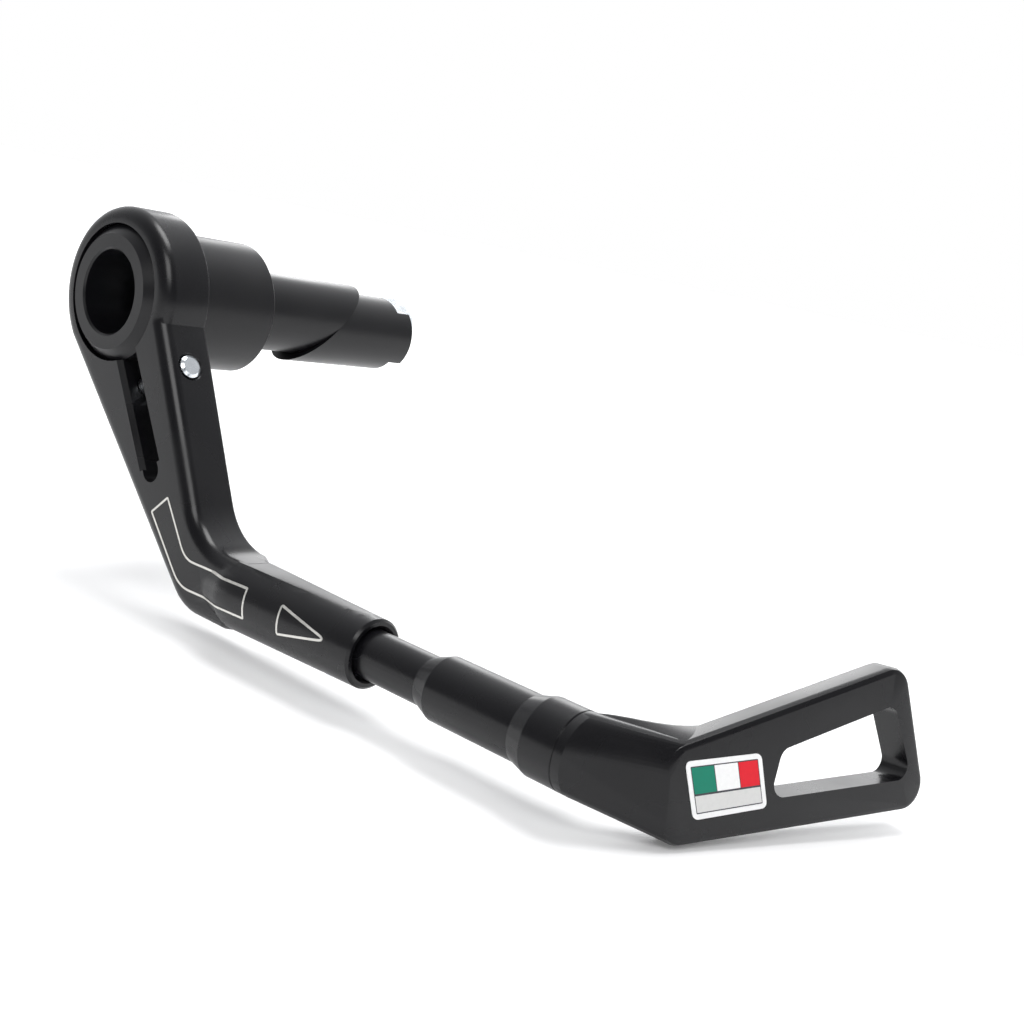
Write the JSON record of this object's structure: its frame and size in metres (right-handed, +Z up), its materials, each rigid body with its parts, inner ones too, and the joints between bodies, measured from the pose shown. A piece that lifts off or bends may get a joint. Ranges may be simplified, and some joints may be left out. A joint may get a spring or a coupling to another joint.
{
  "type": "brake lever guard",
  "caption": "Bar-end brake lever guard: a split ring and cranked arm clamp on a bar-end weight with an expanding wedge plug; a telescoping rod carries a flared blade with a window.",
  "frame": {"origin": "on the handlebar axis, at the weight's rear face, where the end of the handlebar meets it", "axes": "+X outboard along the handlebar axis, +Y forward along the extension rod, +Z up"},
  "size_m": [0.0916, 0.1932, 0.0849],
  "materials": {
    "black_anodised": "satin black anodised aluminium",
    "zinc_steel": "bright zinc plated steel"
  },
  "bodies": {
    "clamp": {"bar_end_weight": "black_anodised", "fixed_wedge": "black_anodised", "expander_bolt": "zinc_steel", "bolt_washer": "zinc_steel"},
    "wedge": {"moving_wedge": "black_anodised"},
    "nut": {"expander_nut": "zinc_steel"},
    "arm": {"arm": "black_anodised", "pinch_screw": "zinc_steel", "rod_set_screw": "zinc_steel"},
    "rod": {"extension_rod": "black_anodised", "blade_set_screw": "zinc_steel"},
    "blade": {"blade": "black_anodised"}
  },
  "joints": [
    {"name": "arm_swivel", "type": "hinge", "parent": "clamp", "child": "arm", "pos_m": [0.0284, 0, 0], "axis": [1, 0, 0], "range_deg": [-45, 45]},
    {"name": "rod_slide", "type": "slide", "parent": "arm", "child": "rod", "axis": [0, 1, 0], "range_m": [-0.014, 0.006]},
    {"name": "blade_turn", "type": "hinge", "parent": "rod", "child": "blade", "pos_m": [0.029, 0.1423, -0.0525], "axis": [0, 1, 0], "range_deg": [-60, 60]},
    {"name": "wedge_slide", "type": "slide", "parent": "clamp", "child": "wedge", "axis": [0.6872, 0, -0.7265], "range_m": [-0.0027, 0]},
    {"name": "nut_travel", "type": "slide", "parent": "clamp", "child": "nut", "axis": [1, 0, 0], "range_m": [-0.0019, 0]}
  ],
  "couplings": [
    {"joint": "nut_travel", "follows": "wedge_slide", "ratio": 0.6872}
  ]
}
